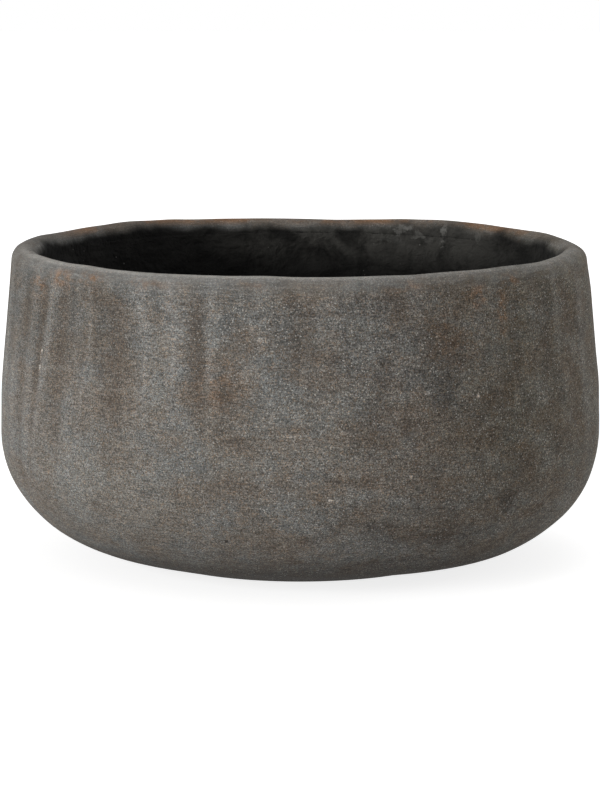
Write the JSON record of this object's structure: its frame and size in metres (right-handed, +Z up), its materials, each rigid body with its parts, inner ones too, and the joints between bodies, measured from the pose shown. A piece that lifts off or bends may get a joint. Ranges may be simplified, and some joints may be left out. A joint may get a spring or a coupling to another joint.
{
  "type": "pottery planter",
  "caption": "Low round fired-clay floor planter with a full belly, a finger-fluted wall leaning in to a thick rounded lip, and a black sealing coat inside.",
  "frame": {"origin": "middle of the standing ring, on the floor", "axes": "+Z up out of the bowl; -Y is the side that the picture shows; +X is to its right"},
  "size_m": [0.34, 0.34, 0.178],
  "materials": {
    "fired_clay": "matte, sandy grey-brown wash with rust marks",
    "black_sealer": "matte brushed sealer"
  },
  "bodies": {
    "root": {"planter_body": "fired_clay", "sealing_coat": "black_sealer"}
  },
  "joints": []
}
